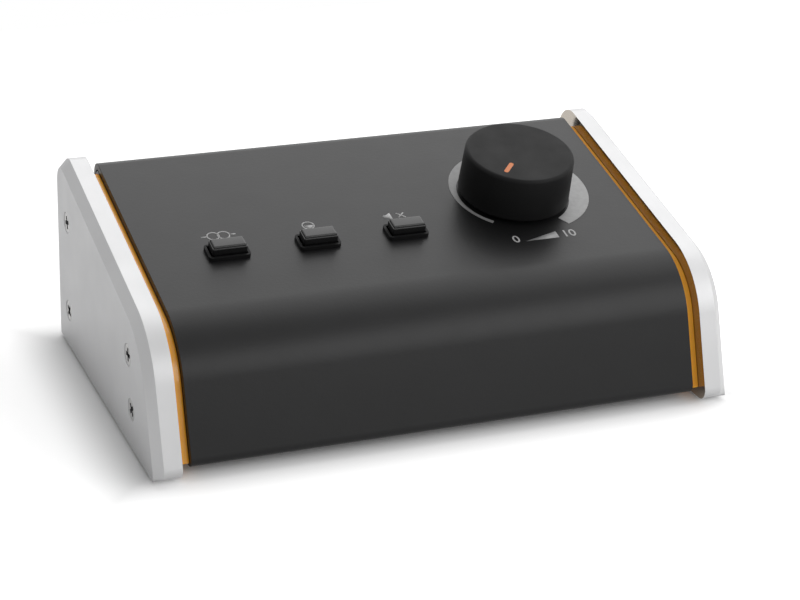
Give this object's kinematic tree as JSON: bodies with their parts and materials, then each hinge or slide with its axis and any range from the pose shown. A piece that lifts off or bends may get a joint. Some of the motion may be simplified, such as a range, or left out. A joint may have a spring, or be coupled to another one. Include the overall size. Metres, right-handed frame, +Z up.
{
  "type": "studio monitor controller",
  "caption": "Desktop studio monitor controller with a sloped metal case, metal side plates, an amber edge line, a volume knob, push buttons and rear audio sockets.",
  "frame": {"origin": "on the desk under the middle of the object's outline", "axes": "+Z up, front towards -Y, +X to the right seen from the front"},
  "size_m": [0.19, 0.116, 0.0726],
  "materials": {
    "black_steel": "fine-textured satin black powder coat",
    "satin_aluminium": "fine bead-blasted, clear anodised",
    "amber_acrylic": "polished translucent amber acrylic",
    "steel_screw": "bright zinc plated",
    "black_screw": "black oxide",
    "foot_rubber": "matte black rubber",
    "soft_black": "soft-touch coated plastic",
    "gloss_black": "moulded gloss plastic",
    "brass": "turned",
    "pointer_orange": "painted",
    "print_grey": "screen printed ink",
    "nickel": "nickel plated",
    "phenolic": "pressed laminate",
    "switch_blue": "moulded",
    "ivory_plastic": "moulded nylon",
    "board_green": "solder-masked glass laminate",
    "ribbon_grey": "extruded vinyl",
    "socket_metal": "black-plated die casting",
    "gold": "gold plated"
  },
  "bodies": {
    "case": {"chassis": "black_steel", "cover": "black_steel", "left_side_plate": "satin_aluminium", "right_side_plate": "satin_aluminium", "left_accent_plate": "amber_acrylic", "right_accent_plate": "amber_acrylic", "side_screws": "steel_screw", "side_nuts": "steel_screw", "cover_screws": "black_screw", "cover_nuts": "steel_screw", "front_left_foot": "foot_rubber", "front_right_foot": "foot_rubber", "rear_left_foot": "foot_rubber", "rear_right_foot": "foot_rubber", "volume_scale": "print_grey", "pot_can": "nickel", "pot_bush": "nickel", "pot_track": "phenolic", "pot_nut": "nickel", "pot_washer": "nickel", "left_collar": "gloss_black", "middle_collar": "gloss_black", "right_collar": "gloss_black", "left_switch": "switch_blue", "middle_switch": "switch_blue", "right_switch": "switch_blue", "left_spring": "nickel", "middle_spring": "nickel", "right_spring": "nickel", "control_board": "board_green", "board_spacers": "nickel", "board_screws": "steel_screw", "ribbon_headers": "ivory_plastic", "ribbon_cable": "ribbon_grey", "socket_board": "board_green", "left_output": "socket_metal", "right_output": "socket_metal", "left_output_block": "gloss_black", "right_output_block": "gloss_black", "output_pins": "gold", "left_input": "gloss_black", "right_input": "gloss_black", "mini_jack": "gloss_black", "mini_jack_nut": "nickel", "socket_screws": "black_screw"},
    "volume_control": {"volume_knob": "soft_black", "knob_hub": "brass", "knob_pointer": "pointer_orange", "pot_shaft": "nickel", "pot_wiper": "phenolic"},
    "left_key": {"left_button": "gloss_black", "left_plunger": "ivory_plastic"},
    "middle_key": {"middle_button": "gloss_black", "middle_plunger": "ivory_plastic"},
    "right_key": {"right_button": "gloss_black", "right_plunger": "ivory_plastic"}
  },
  "joints": [
    {"name": "volume_turn", "type": "hinge", "parent": "case", "child": "volume_control", "pos_m": [0.0457, 0.00725, 0.05274], "axis": [0, 0.225, -0.9744], "range_deg": [0, 288]},
    {"name": "left_press", "type": "slide", "parent": "case", "child": "left_key", "axis": [0, 0.225, -0.9744], "range_m": [0, 0.0025], "stiffness_N_per_m": 300, "deforming": ["left_spring"]},
    {"name": "middle_press", "type": "slide", "parent": "case", "child": "middle_key", "axis": [0, 0.225, -0.9744], "range_m": [0, 0.0025], "stiffness_N_per_m": 300, "deforming": ["middle_spring"]},
    {"name": "right_press", "type": "slide", "parent": "case", "child": "right_key", "axis": [0, 0.225, -0.9744], "range_m": [0, 0.0025], "stiffness_N_per_m": 300, "deforming": ["right_spring"]}
  ]
}
